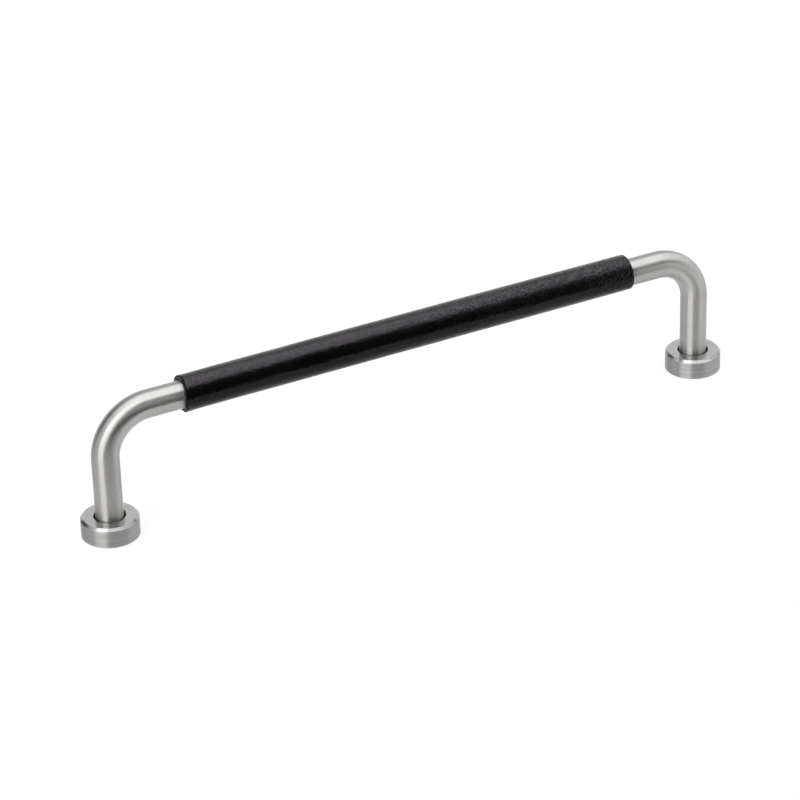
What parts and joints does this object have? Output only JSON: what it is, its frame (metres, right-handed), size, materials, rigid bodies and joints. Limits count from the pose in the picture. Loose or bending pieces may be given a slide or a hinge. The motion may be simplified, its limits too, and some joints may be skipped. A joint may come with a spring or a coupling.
{
  "type": "leather-sleeved pull handle",
  "caption": "Bar pull handle: a bent steel rod with a black leather sleeve on its grip, each end standing in a turned steel collar.",
  "frame": {"origin": "midway between the two feet, on the door's face that they stand on", "axes": "+X along the grip, from the left collar to the right one; +Y across the grip; +Z from the door's face to the grip"},
  "size_m": [0.2086, 0.0166, 0.0426],
  "materials": {
    "brushed_steel": "satin, brushed along the rod",
    "turned_steel": "fine turned lines round the axis",
    "black_leather": "fine pebble grain with a soft sheen"
  },
  "bodies": {
    "root": {"steel_bar": "brushed_steel", "leather_sleeve": "black_leather", "left_collar": "turned_steel", "right_collar": "turned_steel"}
  },
  "joints": []
}
